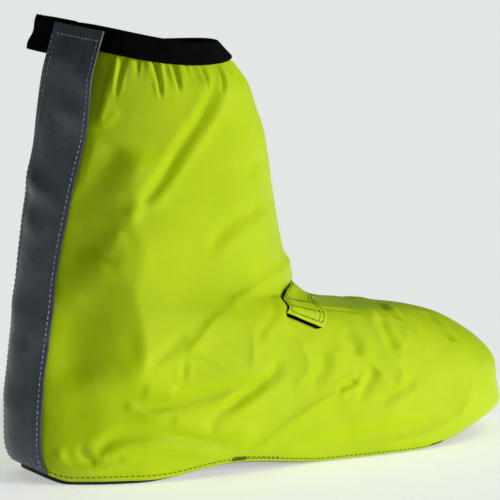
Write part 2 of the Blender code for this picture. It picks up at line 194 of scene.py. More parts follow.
CREASES = [Crease(*row) for row in [
    # gathers under the cuff
    ([(27, 985), (28, 915)], 1.7, 1.2, .5, .3, 0, .5),
    ([(36, 985), (36, 925)], 1.5, 1.3, .4, .3, 0, .5),
    ([(49, 985), (48, 925), (47, 865)], 1.8, 1.8, .5, .5, 0, .5),
    ([(58, 985), (58, 920)], 1.3, 1.1, .4, .4, 0, .5),
    ([(68, 985), (70, 925), (72, 870)], 1.8, 2.3, .5, .5, 0, .5),
    ([(80, 985), (81, 930), (82, 885)], 1.8, 2.1, .5, .4, 0, .5),
    ([(90, 985), (89, 932)], 1.4, 1.2, .4, .4, 0, .5),
    ([(102, 985), (101, 935), (99, 885)], 1.8, 2, .5, .5, 0, .5),
    ([(116, 985), (115, 935), (108, 885)], 1.8, 2.2, .6, .5, 0, .7),
    ([(130, 985), (131, 925)], 1.6, 1.3, .4, .4, 0, .5),
    ([(146, 985), (147, 910)], 1.9, 1.7, .5, .4, 0, .5),
    ([(163, 985), (162, 920)], 1.6, 1.4, .4, .4, 0, .5),
    # shaft, first the puffed stretch beside the strip's top
    ([(32, 990), (35, 900), (41, 790)], 6.8, -3, 0, 0),
    ([(114, 935), (104, 876), (90, 800), (77, 714), (67, 652), (61, 624)],
     4.2, 2.9, .65, .3, -.7, .6),
    ([(63, 648), (57, 600)], 3.4, -1.3, .2, .3),
    ([(96, 900), (91, 850), (86, 808)], 3.6, -0.6, .2, .2),
    ([(56, 775), (52, 712), (43, 646), (32, 560)], 8, 2.2, .35, .2, -.6),
    ([(53, 650), (47, 568), (35, 460)], 6.2, 1, .3, .2, -.5),
    ([(54, 584), (47, 500)], 3.8, -1.2, .2, .3),
    ([(58, 596), (61, 524), (57, 440)], 3.4, 0.7, .5, .2, -.4),
    ([(138, 645), (112, 613), (100, 577), (92, 530)], 4.2, 1.5, .5, .2, -.5),
    ([(130, 740), (118, 698)], 3.8, 0.9, .4, .2),
    ([(46, 520), (36, 452), (23, 366)], 8.5, -2.2, .2, .2, .4),
    # above the heel, first the broad hollow beside the strip
    ([(42, 700), (38, 560), (34, 420), (31, 300), (30, 200), (31, 110)], 14, 4.5, 0, 0),
    ([(52, 240), (36, 210), (20, 180)], 8, -1.4, .3, .3, .3),
    ([(45, 232), (41, 210), (36, 190)], 5.6, 0.5, .2, .1),
    ([(48, 320), (48, 272), (47, 216)], 4.2, 0.4, .4, .2, -.4),
    ([(64, 312), (56, 262), (49, 222)], 3.4, 0.8, .5, .2, -.4),
    ([(60, 246), (59, 196)], 1.9, 0.6, .5, .2),
    ([(46, 142), (56, 144), (63, 156), (72, 173), (79, 196)], 3.4, 1.5, .25, .55, .7),
    ([(44, 156), (50, 140), (60, 138)], 2.6, -1.2, .1, .1),
    ([(66, 106), (74, 152), (81, 196)], 2.8, 1.2, .2, .5, .6),
    ([(49, 186), (58, 180)], 4.5, -1.2, .1, .1),
    ([(56, 124), (66, 100)], 3.8, -1.1, .1, .1),
    ([(66, 94), (77, 74)], 3.6, -1.1, .1, .1),
    # puckers at the heel
    ([(24, 72), (26, 50), (32, 36), (44, 34)], 3.2, -1.8, .3, .4),
    ([(31, 78), (34, 60), (37, 46)], 2.4, 1.2, .3, .3),
    ([(39, 58), (45, 56)], 2.1, 1, .3, .3),
    ([(36, 60), (42, 84), (52, 92), (62, 74), (76, 28)], 3.4, 2.1, .25, .6, .5, .8),
    # ankle and forefoot
    ([(112, 440), (95, 372), (84, 318), (78, 270)], 3, 1.4, .3, .3, -.4),
    ([(85, 240), (80, 190), (74, 152), (68, 112)], 3.8, 1.8, .3, .3, -.4),
    ([(95, 252), (94, 208), (89, 156)], 4.2, 1.4, .4, .2, -.4),
    ([(106, 310), (105, 270), (102, 226)], 4, 2, .4, .2, -.3),
    ([(115, 396), (122, 382), (123, 350)], 1.6, 1.1, .4, .4),
    ([(172, 386), (142, 358), (130, 312)], 2.8, 1.9, .5, .2, -.4),
    ([(125, 335), (118, 288), (115, 240)], 3, 1.7, .4, .2, -.4),
    ([(158, 330), (146, 292), (140, 244)], 3.4, 1.8, .4, .2, -.4),
    ([(101, 172), (98, 166), (95, 150)], 1.9, 2.2, .4, .4),
    ([(106, 206), (104, 172), (100, 132)], 3.6, 1.5, .4, .1),
    ([(117, 156), (112, 140), (106, 118)], 2.8, 1.3, .4, .3, -.3),
    ([(84, 40), (98, 56), (112, 62), (126, 70)], 4.8, 1.7, .3, .3),
]]

# The first overhangs the instep strap
FOLDS = [Fold(*row) for row in [
    ([(214, 515), (186, 532), (158, 531), (138, 516), (122, 496), (108, 470), (90, 418),
      (74, 352), (67, 308), (62, 272), (60, 240)],
     (5.2, 1.4), (9, 11), (7.5, 1), (2.6, 0.3)),
    # the long edge up the shaft, between its back and its side
    ([(66, 780), (60, 690), (58.5, 600), (60, 520), (57, 430), (52, 330), (50, 240), (48, 150)],
     (6.2, 6.6), (26, 26), (20, 22), (3, 1.5)),
    ([(122, 452), (110, 426), (99, 394), (88, 350), (80, 300), (77, 254), (75, 200)],
     (1.6, 0.9), (5, 6), (3, 1.2)),
    ([(91, 300), (90, 240), (89, 204), (85, 170)], (1, 1), (2.2, 2.2), (4, 3)),
    ([(140, 386), (128, 352), (116, 310), (112, 248), (113, 196), (112, 164), (110, 152)],
     (1.1, 1), (1.9, 1.9), (2.6, 2.4)),
    ([(102, 236), (106, 218), (107, 184), (110, 152)], (0.8, 0.8), (1.6, 1.6), (2.2, 2.2)),
    ([(95, 304), (99, 256), (103, 226)], (0.8, 0.8), (1.8, 1.8), (2.6, 2.6)),
    ([(146, 344), (134, 302), (127, 270), (124, 216)], (1, 0.8), (1.8, 1.8), (2.6, 2.6)),
    ([(128, 300), (118, 256), (113, 206)], (0.9, 0.8), (1.7, 1.7), (2.4, 2.4)),
    ([(100, 172), (92, 136), (86, 104), (81, 72), (75, 34)], (1.7, 1.4), (5, 6), (1.3, 1.2)),
    ([(102, 190), (101, 150), (96, 108)], (1.1, 0.8), (2.6, 2.6), (2.6, 2.6)),
    ([(138, 150), (133, 84), (125, 56), (116, 46), (104, 38)],
     (0.9, 0.9), (2.2, 2.2), (2.6, 2.6)),
    ([(139, 114), (135, 86), (129, 58)], (0.8, 0.8), (1.5, 1.5), (2, 2)),
    ([(44, 106), (55, 101), (65, 80), (74, 50)], (0.5, 0.5), (3, 3), (1.6, 1.6)),
    ([(35, 64), (37, 78), (39, 72), (40, 54)], (0.5, 0.5), (1.6, 1.6), (1.6, 1.6)),
    ([(38, 848), (43, 814), (50, 850)], (0.7, 0.7), (1.6, 1.6), (1.6, 1.6)),
]]


def inner_side(line):
    """The same kind of crease or fold on the inner side of the foot, moved a little."""
    way = [(360 - turn + INNER_TURN_DRIFT * sin(0.007 * up + turn / 40),
            up * (1 + INNER_UP_DRIFT * sin(0.009 * up))) for turn, up in line.way]
    moved = line._replace(way=way, left=line.right, right=line.left)
    return moved._replace(aside=-line.aside) if isinstance(line, Crease) else moved


# Soft bulges of the reflective strip: place up, place across from the inner edge (0) to the
# outer edge (1), then length across, length up and height in millimetres
STRIP_BULGES = [
    (0.930, 0.55, 14, 6, 1),
    (0.835, 0.70, 10, 6, 1.3),
    (0.775, 0.40, 12, 9, 0.5),
    (0.660, 0.40, 13, 6.5, 2.1),
    (0.560, 0.45, 12, 8, 1.2),
    (0.455, 0.60, 12, 12, 0.6),
    (0.340, 0.35, 13, 9, 1.2),
    (0.235, 0.60, 12, 9, 0.6),
    (0.130, 0.40, 12, 8, 1.1),
]

# Sewing
HEM_SEAM = 0.0032
STITCH_PITCH = 0.0028
STITCH_LENGTH = 0.0020
THREAD = 0.0005
TACK_PITCH = 0.0014
TACK_LENGTH = 0.0021


def ease(share):
    """0 to 1 with level ends."""
    share = np.clip(share, 0.0, 1.0)
    return share * share * (3 - 2 * share)


def faded(share, start, end):
    """1 along a line, and less over these shares of it at its start and its end."""
    return ease(share / start) * ease((1 - share) / end)


def hump(distance, width):
    """A soft bump of height 1."""
    return np.exp(-(distance / width) ** 2)


def columns(rows):
    """A table of pairs as two arrays."""
    return np.array(rows, dtype=float).T


def together(*parts):
    """Numbers and arrays as float arrays of one length."""
    return np.broadcast_arrays(*(np.atleast_1d(part).astype(float) for part in parts))


def lengths(vectors):
    return np.linalg.norm(vectors, axis=1)


def through(places, values, x):
    """A smooth curve through the values at these places, level beyond its ends. Where values
    has a row for each place, each x has a column of its own."""
    x = np.clip(x, places[0], places[-1])
    last = len(places) - 1
    k = np.clip(np.searchsorted(places, x) - 1, 0, last - 1)
    before, after = np.maximum(k - 1, 0), np.minimum(k + 2, last)
    here = np.arange(len(x))

    def pick(row):
        return values[row] if values.ndim == 1 else values[row, here]

    start, end = pick(k), pick(k + 1)
    slope0 = (end - pick(before)) / (places[k + 1] - places[before])
    slope1 = (pick(after) - start) / (places[after] - places[k])
    step = places[k + 1] - places[k]
    s = (x - places[k]) / step
    return start + (end - start) * ease(s) + step * s * (1 - s) * (slope0 * (1 - s) - slope1 * s)


def underside(x):
    """Height of the sole's underside above the floor."""
    places, rises = columns(UNDERSIDE)
    x = np.clip(x / LENGTH, places[0], places[-1])
    k = np.clip(np.searchsorted(places, x) - 1, 0, len(places) - 2)
    share = (x - places[k]) / (places[k + 1] - places[k])
    return rises[k] + (rises[k + 1] - rises[k]) * ease(share)


def hem_height(x):
    """Height of the upper's lower edge: above the sole's edge at the heel, round it in front."""
    share = ease((x / LENGTH - HEM_ON_SOLE_TO) / (HEM_ROUND_SOLE_FROM - HEM_ON_SOLE_TO))
    return underside(x) + HEM_UP_SOLE + (CLEARANCE - HEM_UP_SOLE) * share


def upper_points(turn, at):
    """Points of the smooth upper. turn goes round from the back (0) by the outer side to the
    front (pi); at goes from the rim (0) to the collar (1)."""
    turn, at = together(turn, at)
    turn = (turn + pi) % (2 * pi) - pi
    places = np.array([row["at"] for row in SECTIONS])
    ring = {
        name: through(places, np.array([row[name] for row in SECTIONS]), at)
        for name in SECTIONS[0] if name != "at"
    }
    share = (1 - np.cos(turn)) / 2
    x = LENGTH * (ring["back"] + (ring["front"] - ring["back"]) * share)
    z = HEIGHT * (ring["back_z"] + (ring["front_z"] - ring["back_z"]) * share)
    z -= HEIGHT * ring["dip"] * np.sin(turn) ** 2
    rim = SECTIONS[0]
    rim_plane = HEIGHT * (rim["back_z"] + (rim["front_z"] - rim["back_z"]) * share)
    z += ease(1 - at / RIM_FADE) * (hem_height(x) - rim_plane)
    bend = ease((BEND_NONE - at) / (BEND_NONE - BEND_FULL))
    middle = BALL_WIDTH * bend * through(*columns(BEND), x / LENGTH)
    halves = np.stack([ring[name] for name in ROUND_THE_SECTION])
    turns = pi / 4 * np.arange(-1, 6)
    half = BALL_WIDTH * through(turns, halves, np.abs(turn)) * np.sin(turn)
    return np.stack([x, middle - half, z], axis=1)


def unit(vectors):
    """The same directions, one long."""
    return vectors / np.linalg.norm(vectors, axis=-1, keepdims=True)


def outward(turn, at):
    """Directions out of the smooth upper."""
    nudge_turn, nudge_at = 0.02, 0.004
    below, above = np.maximum(at - nudge_at, 0.0), np.minimum(at + nudge_at, 1.0)
    round_it = upper_points(turn + nudge_turn, at) - upper_points(turn - nudge_turn, at)
    up_it = upper_points(turn, above) - upper_points(turn, below)
    return unit(np.cross(round_it, up_it))


def skin(turn, at, out):
    """Points this far outside the smooth upper."""
    turn, at, out = together(turn, at, out)
    return upper_points(turn, at) + outward(turn, at) * out[:, None]


def turn_beside(at, distance):
    """The turn reached by walking this distance round a section from the back, plus outwards."""
    at, distance = together(at, distance)
    steps, nudge = 8, 0.01
    turn = np.zeros(len(at))
    for _ in range(steps):
        walked = upper_points(turn + nudge, at) - upper_points(turn - nudge, at)
        turn = turn + distance / steps / (lengths(walked) / (2 * nudge))
    return turn


def at_distance(turn, distance, from_collar):
    """The place up the upper that lies this distance from the collar's edge or from the hem."""
    turn, distance = together(turn, distance)
    low, high = (SECTIONS[-4]["at"], 1.0) if from_collar else (0.0, SECTIONS[3]["at"])
    low, high = np.full(len(turn), low), np.full(len(turn), high)
    edge = upper_points(turn, 1.0 if from_collar else 0.0)
    for _ in range(24):
        middle = (low + high) / 2
        far = lengths(upper_points(turn, middle) - edge) > distance
        go_up = far if from_collar else ~far
        low, high = np.where(go_up, middle, low), np.where(go_up, high, middle)
    return (low + high) / 2


def closure_out(share):
    """How far the strip's inner face stands off the upper, before (0) and after (1) its climb."""
    return CLEARANCE + (2 * CLEARANCE + CUFF_THICKNESS + TAB_THICKNESS) * share


def closure_plane():
    """The flat plane on the cuff's back that the strip's top and the tab lie in: its origin on
    the collar's edge and its directions outwards along it, up it, out of it, and up the cuff."""
    turn = turn_beside(1.0, CLOSURE_TOP_ASIDE)
    low = at_distance(turn, CUFF_HEIGHT, True)
    edge = upper_points(turn, 1.0)[0]
    up = unit(edge - upper_points(turn, low)[0])
    out = outward(turn, (1 + low) / 2)[0]
    across = unit(np.cross(up, out))
    out = np.cross(across, up)
    slanted = across * cos(TAB_SLANT) - up * sin(TAB_SLANT)
    return edge, slanted, np.cross(out, slanted), out, up


def strip_points(u, v, out):
    """Points of the closure strip: u from its inner to its outer edge, v from foot to top."""
    back_line = lengths(upper_points(0.0, 1.0) - upper_points(0.0, 0.0))[0]
    foot = CLOSURE_FOOT_GAP / back_line
    top = at_distance(0.0, CLOSURE_TOP_GAP, True)[0]
    tab_foot = TAB_HEIGHT - TAB_TOP_GAP + TAB_LENGTH * sin(TAB_SLANT)
    full = max(CUFF_HEIGHT, tab_foot) + SLACK
    edge, across, _, plane_out, up = closure_plane()
    at = foot + (top - foot) * v
    aside = CLOSURE_WIDTH * (u - 0.5)
    top_aside = CLOSURE_TOP_ASIDE + CLOSURE_TOP_SHIFT
    middle = CLOSURE_ASIDE + (top_aside - CLOSURE_ASIDE) * ease(at) ** 2
    below = lengths(upper_points(0.0, 1.0) - upper_points(0.0, at))
    climbed = ease(1 - (below - full) / CLIMB)
    off = closure_out(climbed) + out
    on_upper = skin(turn_beside(at, middle + aside), at, off)
    in_plane = (edge + across * (CLOSURE_TOP_SHIFT + aside)[:, None] - up * below[:, None]
                + plane_out * off[:, None])
    return on_upper + (in_plane - on_upper) * climbed[:, None]


def strap_points(u, v, width, out):
    """Points of the instep strap: u goes along its way and v across it. The strap is pulled
    straight across a hollow, and its closed end is cut a little askew."""
    degrees, ats = columns(STRAP_WAY)
    along = degrees[0] + (degrees[-1] - degrees[0]) * u
    turn = np.radians(along)
    at = through(degrees, ats, along)
    nudge = 0.022
    speed = lengths(upper_points(turn, at + nudge) - upper_points(turn, at - nudge))
    skew = STRAP_END_SKEW * (1 - u) ** 2

    def on_upper(v, out):
        return skin(turn + skew * (0.5 - v), at + width * (v - 0.5) / (speed / (2 * nudge)), out)

    near, far = on_upper(0.0, out), on_upper(1.0, out)
    straight = near + (far - near) * v[:, None]
    outwards = on_upper(v, 1.0) - on_upper(v, 0.0)
    lift = np.sum((on_upper(v, out) - straight) * outwards, axis=1)
    return straight + outwards * np.maximum(lift, 0.0)[:, None]


def walked_along(line):
    """The way walked up to each point of a line."""
    return np.concatenate([[0], np.cumsum(lengths(np.diff(line, axis=0)))])


def strap_share(length):
    """Share of the strap's way that is this long, from its closed end."""
    u = np.linspace(0, 1, 101)
    way = strap_points(u, np.full(101, 0.5), 0.0, 0.0)
    return u[np.argmax(walked_along(way) >= length)]


def tab_place():
    """The middle of the tab's inner end, and its directions along, up and out."""
    edge, across, tab_up, out, up = closure_plane()
    inner_end = CLOSURE_TOP_SHIFT - CLOSURE_WIDTH / 2 - TAB_FREE_LENGTH
    middle = edge + up * (TAB_TOP_GAP - TAB_HEIGHT / 2) + out * (closure_out(1) - CLEARANCE)
    return middle + across * inner_end, across, tab_up, out


def own_to_row():
    """The shift from the shoe's own coordinates to the frame of the CAD solids, from the tab."""
    end, across, up, out = tab_place()
    corners = [
        end + across * TAB_LENGTH * u + up * TAB_HEIGHT * v - out * TAB_THICKNESS * w
        for u in (0, 1) for v in (-0.5, 0.5) for w in (0, 1)
    ]
    return np.array(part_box("closure_tab")[0]) - np.min(corners, axis=0)


def smooth_way(way, steps=6):
    """Points of the smooth upper along a way."""
    rows = np.array(way) * (1, 0.001)
    places = np.arange(len(rows), dtype=float)
    x = np.linspace(0, len(rows) - 1, steps * (len(rows) - 1) + 1)
    if len(rows) == 2:
        turn, at = (rows[0] + (rows[1] - rows[0]) * x[:, None]).T
    else:
        turn, at = through(places, rows[:, 0], x), through(places, rows[:, 1], x)
    return upper_points(np.radians(turn), at)


def beside(points, normals, way, reach):
    """For each point within reach of a line on the upper: its distance from the line, plus to
    the left of it seen from outside, and its place along the line from 0 to 1."""
    low, high = way.min(axis=0) - reach, way.max(axis=0) + reach
    near = np.flatnonzero(np.all((points > low) & (points < high), axis=1))
    nearest = np.full(len(near), np.inf)
    along = np.zeros(len(near))
    side = np.ones(len(near))
    for k in range(len(way) - 1):
        step = way[k + 1] - way[k]
        t = np.clip((points[near] - way[k]) @ step / (step @ step), 0, 1)
        away = points[near] - (way[k] + t[:, None] * step)
        distance = lengths(away)
        closer = distance < nearest
        left = np.sum(np.cross(normals[near], step) * away, axis=1) > 0
        nearest = np.where(closer, distance, nearest)
        along = np.where(closer, (k + t) / (len(way) - 1), along)
        side = np.where(closer, np.where(left, 1.0, -1.0), side)
    return near, nearest * side, along


def crease_relief(points, normals):
    """How far the creases and folds lift each point of the upper."""
    lift = np.zeros(len(points))
    for crease in CREASES + [inner_side(crease) for crease in CREASES]:
        width = MM * crease.width
        near, away, along = beside(points, normals, smooth_way(crease.way), CREASE_REACH * width)
        size = 1 - (1 - crease.end) * along
        away = away / (width * size) - crease.aside
        shape = -hump(away, 1.0)
        shape += crease.left * hump(away - LIP_AWAY, LIP_SPREAD)
        shape += crease.right * hump(away + LIP_AWAY, LIP_SPREAD)
        lift[near] += MM * crease.depth * size * shape * faded(along, *CREASE_FADES)
    for fold in FOLDS + [inner_side(fold) for fold in FOLDS]:
        reach = FOLD_REACH * MM * max(fold.left + fold.right)
        near, away, along = beside(points, normals, smooth_way(fold.way), reach)
        height, left, right, crest = (
            MM * (first + (last - first) * along ** FOLD_TAPER)
            for first, last in (fold.height, fold.left, fold.right, fold.crest))
        far = np.sqrt(away ** 2 + crest ** 2) - crest
        shape = np.exp(-far / np.where(away > 0, left, right))
        lift[near] += height * shape * faded(along, *FOLD_FADES)
    return lift


def unevenness(points):
    """Soft ups and downs of limp fabric, less than a millimetre."""
    x, y, z = points.T
    lift = 0.45 * np.sin(61 * x + 38 * z + 2.1) * np.sin(47 * z - 29 * x + 0.6)
    lift += 0.30 * np.sin(118 * z + 57 * y + 1.3) * np.sin(96 * x + 0.4)
    lift += 0.16 * np.sin(190 * x - 120 * z) * np.sin(175 * z + 80 * x + 2.0)
    return MM * lift


def relief(turn, at, points, normals):
    """How far the dressed fabric stands off the smooth upper."""
    lift = crease_relief(points, normals) + unevenness(points) * faded(at, *UNEVEN_FADES)
    # it puffs out under the cuff in small puckers, and is held by the cuff and the hem's seam
    lift += PUFF_OUT * hump(at - PUFF_AT, PUFF_SPREAD)
    puckers = np.sin(37 * turn + 2.1 * np.sin(5 * turn))
    puckers += 0.6 * np.sin(61 * turn + 1.7 * np.sin(7 * turn))
    lift += PUCKERS_OUT * puckers * ease((at - PUCKERS_FROM) / PUCKERS_FULL)
    lift *= ease((CUFF_HOLDS_FROM - at) / CUFF_HOLDS_OVER)
    seam = at_distance(turn, HEM_SEAM, False)
    lift *= 1 - SEAM_HOLDS + SEAM_HOLDS * ease((at - seam) / SEAM_HOLDS_OVER)
    # the tip of the toe stands out over its hem
    tip = hump(at - TOE_TIP_AT, TOE_TIP_SPREAD) * hump((np.abs(turn) - pi) / TOE_TIP_TURN, 1.0)
    lift += TOE_TIP_OUT * tip
    # flat under the closure strip and the strap, whose edges it overhangs over the instep
    v = np.linspace(0, 1, 60)
    way = strip_points(np.full(60, 0.5), v, 0.0)
    near, away, _ = beside(points, normals, way, 0.035)
    off_strip = (np.abs(away) - CLOSURE_WIDTH / 2 + HELD_BY_STRIP) / STRIP_EASES_OVER
    lift[near] = held_flat(lift[near], off_strip)
    way = strap_points(v, np.full(60, 0.5), 0.0, 0.0)
    near, away, along = beside(points, normals, way, 0.03)
    tucked = STRAP_TUCKED * ease((along - TUCKED_FROM) / TUCKED_OVER)
    beside_strap = np.abs(away) - STRAP_WIDTH / 2 - HELD_BESIDE_STRAP + tucked
    lift[near] = held_flat(lift[near], beside_strap / STRAP_EASES_OVER)
    return lift


def held_flat(lift, off):
    """The lift, less what stands out where a strip lies: under it (0) to clear of it (1)."""
    held = 1 - ease(off)
    return np.minimum(lift, 0) * held + lift * (1 - held)


def dressed(turn, at, out=0.0):
    """Points of the dressed upper, and directions out of it."""
    turn, at = together(turn, at)
    points, normals = upper_points(turn, at), outward(turn, at)
    lift = relief(turn, at, points, normals) + out
    return points + normals * lift[:, None], normals


class Varied:
    """A number that varies over a surface. Sums of it add Math nodes to its finish."""

    def __init__(self, finish, socket):
        self.finish = finish
        self.socket = socket

    def maths(self, operation, first, second):
        return self.finish.node("ShaderNodeMath", dict(operation=operation), {0: first, 1: second})

    def __add__(self, other):
        return self.maths("ADD", self, other)

    def __radd__(self, other):
        return self.maths("ADD", other, self)

    def __sub__(self, other):
        return self.maths("SUBTRACT", self, other)

    def __rsub__(self, other):
        return self.maths("SUBTRACT", other, self)

    def __mul__(self, other):
        return self.maths("MULTIPLY", self, other)

    def __rmul__(self, other):
        return self.maths("MULTIPLY", other, self)


class Finish:
    """A material built from nodes."""

    def __init__(self, name, **constants):
        self.material = bpy.data.materials.new(name)
        self.material.use_nodes = True
        self.tree = self.material.node_tree
        self.shader = self.tree.nodes["Principled BSDF"]
        for socket, value in constants.items():
            self.shader.inputs[socket.replace("_", " ")].default_value = value
        self.places = self.node("ShaderNodeTexCoord", output="Object")

    def node(self, kind, settings=None, inputs=None, output=0):
        """One node with its settings, then its sockets' values or links."""
        made = self.tree.nodes.new(kind)
        for name, value in (settings or {}).items():
            setattr(made, name, value)
        for socket, value in (inputs or {}).items():
            if isinstance(value, Varied):
                self.tree.links.new(value.socket, made.inputs[socket])
            else:
                made.inputs[socket].default_value = value
        return Varied(self, made.outputs[output])

    def noise(self, size, detail=3.0, roughness=0.5):
        """Soft noise about this many metres across."""
        return self.node("ShaderNodeTexNoise", inputs={
            "Vector": self.places, "Scale": 1 / size, "Detail": detail, "Roughness": roughness})

    def between(self, value, low, high, to_low=0.0, to_high=1.0):
        """The value taken from one range to another with soft ends."""
        return self.node("ShaderNodeMapRange", dict(interpolation_type="SMOOTHSTEP"), {
            "Value": value, "From Min": low, "From Max": high, "To Min": to_low, "To Max": to_high})

    def blend(self, share, first, second):
        """One colour into another."""
        sockets = {0: share, 6: self.colour(first), 7: self.colour(second)}
        return self.node("ShaderNodeMix", dict(data_type="RGBA"), sockets, output=2)

    def colour(self, value):
        return value if isinstance(value, Varied) else (*value, 1.0)

    def weave(self, across, up):
        """Height of a plain weave with this many metres of cloth from thread to thread."""
        uv = self.node("ShaderNodeUVMap", dict(uv_map="cloth"))
        parts = self.node("ShaderNodeSeparateXYZ", inputs={0: uv}).socket.node.outputs
        waves = [Varied(self, parts[0]) * (2 * pi / across), Varied(self, parts[1]) * (2 * pi / up)]
        warp, weft = (self.node("ShaderNodeMath", dict(operation="SINE"), {0: wave}) for wave in waves)
        return warp * weft

    def bump(self, height, metres, normal=None):
        """Relief: height times this many metres."""
        sockets = {"Height": height, "Distance": metres, "Strength": 1.0}
        if normal is not None:
            sockets["Normal"] = normal
        return self.node("ShaderNodeBump", inputs=sockets)

    def feed(self, colour, roughness, normal=None):
        """Links what varies to the shader."""
        for socket, value in (("Base Color", colour), ("Roughness", roughness), ("Normal", normal)):
            if value:
                self.tree.links.new(value.socket, self.shader.inputs[socket])
        return self.material


def coated_fabric():
    """Yellow-green fabric with a smooth semi-matte coating."""
    made = Finish("coated_fabric", Specular_IOR_Level=0.32, Specular_Tint=(1.0, 0.50, 0.42, 1.0))
    cloud = made.noise(0.045, 4.0)
    fine = made.noise(0.006, 3.0)
    colour = made.blend(made.between(cloud, 0.35, 0.68), (0.428, 0.605, 0.0004), (0.482, 0.650, 0.0008))
    colour = made.blend(made.between(fine, 0.45, 0.75) * 0.25, colour, (0.520, 0.680, 0.002))
    uneven = made.bump(made.noise(0.030, 2.0, 0.45), 0.0018)
    woven = made.bump(made.weave(0.00062, 0.00062), 0.000035, uneven)
    gloss = made.between(cloud, 0.3, 0.7, 0.36, 0.46)
    return made.feed(colour, gloss + fine * 0.06, woven)


def lining_fabric():
    """The uncoated inner face of the same fabric, paler and matte."""
    made = Finish("lining_fabric", Specular_IOR_Level=0.2, Sheen_Weight=0.15)
    cloud = made.noise(0.03, 4.0)
    colour = made.blend(made.between(cloud, 0.3, 0.7), (0.36, 0.50, 0.05), (0.46, 0.60, 0.10))
    uneven = made.bump(made.noise(0.012), 0.0012)
    woven = made.bump(made.weave(0.0008, 0.0008), 0.00008, uneven)
    return made.feed(colour, made.between(cloud, 0.3, 0.7, 0.7, 0.82), woven)


def reflective_fabric():
    """Dark blue-grey reflective cloth with a satin face, and painted highlights as soft lighter patches
    in its colour.
    """
    made = Finish("reflective_fabric", Specular_IOR_Level=0.6, Metallic=0.3)
    cloud = made.noise(0.022, 4.0)
    speck = made.noise(0.0009, 2.0)
    colour = made.blend(made.between(cloud, 0.32, 0.70), (0.034, 0.046, 0.062), (0.060, 0.078, 0.102))
    # painted highlights: soft lighter patches in the colour stand in for highlights on the strip
    painted_highlights = made.between(made.noise(0.034, 2.0), 0.56, 0.74)
    colour = made.blend(painted_highlights * 0.8, colour, (0.100, 0.130, 0.155))
    colour = made.blend(made.between(speck, 0.5, 0.8) * 0.35, colour, (0.110, 0.130, 0.150))
    uneven = made.bump(made.noise(0.012, 5.0), 0.0010)
    woven = made.bump(made.weave(0.0007, 0.0007), 0.00004, uneven)
    gloss = made.between(cloud, 0.3, 0.7, 0.34, 0.46)
    return made.feed(colour, gloss, woven)


def elastic_webbing():
    """Black ribbed elastic."""
    made = Finish("elastic_webbing", Specular_IOR_Level=0.03)
    cloud = made.noise(0.010, 4.0)
    dark, light = (0.0012, 0.0012, 0.0014), (0.0034, 0.0034, 0.0038)
    colour = made.blend(made.between(cloud, 0.3, 0.7), dark, light)
    ribs = made.bump(made.weave(0.0009, 0.0016), 0.00016, made.bump(cloud, 0.0006))
    return made.feed(colour, made.between(cloud, 0.3, 0.7, 0.78, 0.92), ribs)


def hook_tape():
    """Black tape covered in small stiff hooks, with painted shade in the gaps between them."""
    made = Finish("hook_tape", Specular_IOR_Level=0.03)
    cloud = made.noise(0.006, 4.0)
    hooks = made.node("ShaderNodeTexVoronoi", inputs={"Vector": made.places, "Scale": 1 / 0.0011})
    # painted shade: the low gaps between the hooks are coloured darker than the raised tips
    tips, shaded_gaps = (0.0042, 0.0042, 0.0046), (0.0008, 0.0008, 0.0008)
    colour = made.blend(made.between(hooks, 0.1, 0.6), tips, shaded_gaps)
    standing = made.bump(1 - hooks, 0.0006, made.bump(cloud, 0.0005))
    shade = made.between(cloud, 0.3, 0.7, 0.7, 0.9)
    return made.feed(colour, shade, standing)


def sole_rubber():
    """Matte black rubberised fabric with a fine grip of small diamonds."""
    made = Finish("sole_rubber", Specular_IOR_Level=0.35)
    cloud = made.noise(0.014, 5.0)
    colour = made.blend(made.between(cloud, 0.3, 0.7), (0.008, 0.008, 0.009), (0.020, 0.020, 0.021))
    grip = made.bump(made.weave(0.0030, 0.0030), 0.00035, made.bump(made.noise(0.0016), 0.0003))
    return made.feed(colour, made.between(cloud, 0.3, 0.7, 0.62, 0.80), grip)


def sewing_thread(name, dark, light):
    """Twisted thread."""
    made = Finish(name, Specular_IOR_Level=0.35)
    cloud = made.noise(0.003, 3.0)
    colour = made.blend(made.between(cloud, 0.35, 0.65), dark, light)
    twist = made.bump(made.noise(0.0004, 2.0), 0.0001)
    shade = made.between(cloud, 0.3, 0.7, 0.55, 0.65)
    return made.feed(colour, shade, twist)


def studio_floor():
    """Plain pale floor."""
    made = Finish("studio_floor", Specular_IOR_Level=0.1, Emission_Color=(1.0, 1.0, 1.0, 1.0),
                  Emission_Strength=0.44)
    cloud = made.noise(0.4, 2.0)
    colour = made.blend(cloud, (0.86, 0.86, 0.86), (0.89, 0.89, 0.89))
    return made.feed(colour, made.between(cloud, 0.2, 0.8, 0.85, 0.92))


def link(mesh, finish, slot, *nodes):
    """A finished piece in the frame of the CAD solids, riding on the one body."""
    mesh.materials.append(finish)
    mesh.shade_smooth()
    piece = bpy.data.objects.new(mesh.name, mesh)
    bpy.context.scene.collection.objects.link(piece)
    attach(piece, "root")
    if nodes:
        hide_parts(*nodes)
    return piece


def cloth_mesh(name, across, up, place, cloth, closed=False):
    """A grid whose corners are placed by place(u, v), with its own UV map in metres: cloth
    gives the cloth's length for u and for v. closed joins the edges that meet."""
    mesh = bpy.data.meshes.new(name)
    grid = bmesh.new()
    stretched = grid.loops.layers.uv.new("cloth")
    bmesh.ops.create_grid(grid, x_segments=across, y_segments=up, size=0.5, calc_uvs=True)
    flat = np.array([vert.co for vert in grid.verts]) + 0.5
    for vert, spot in zip(grid.verts, place(flat[:, 0], flat[:, 1]) + SHIFT):
        vert.co = spot
    for face in grid.faces:
        for corner in face.loops:
            at = corner[stretched].uv
            corner[stretched].uv = (at.x * cloth[0], at.y * cloth[1])
    if closed:
        rim = [vert for vert in grid.verts if vert.is_boundary]
        bmesh.ops.remove_doubles(grid, verts=rim, dist=MEETING)
    grid.to_mesh(mesh)
    grid.free()
    return mesh


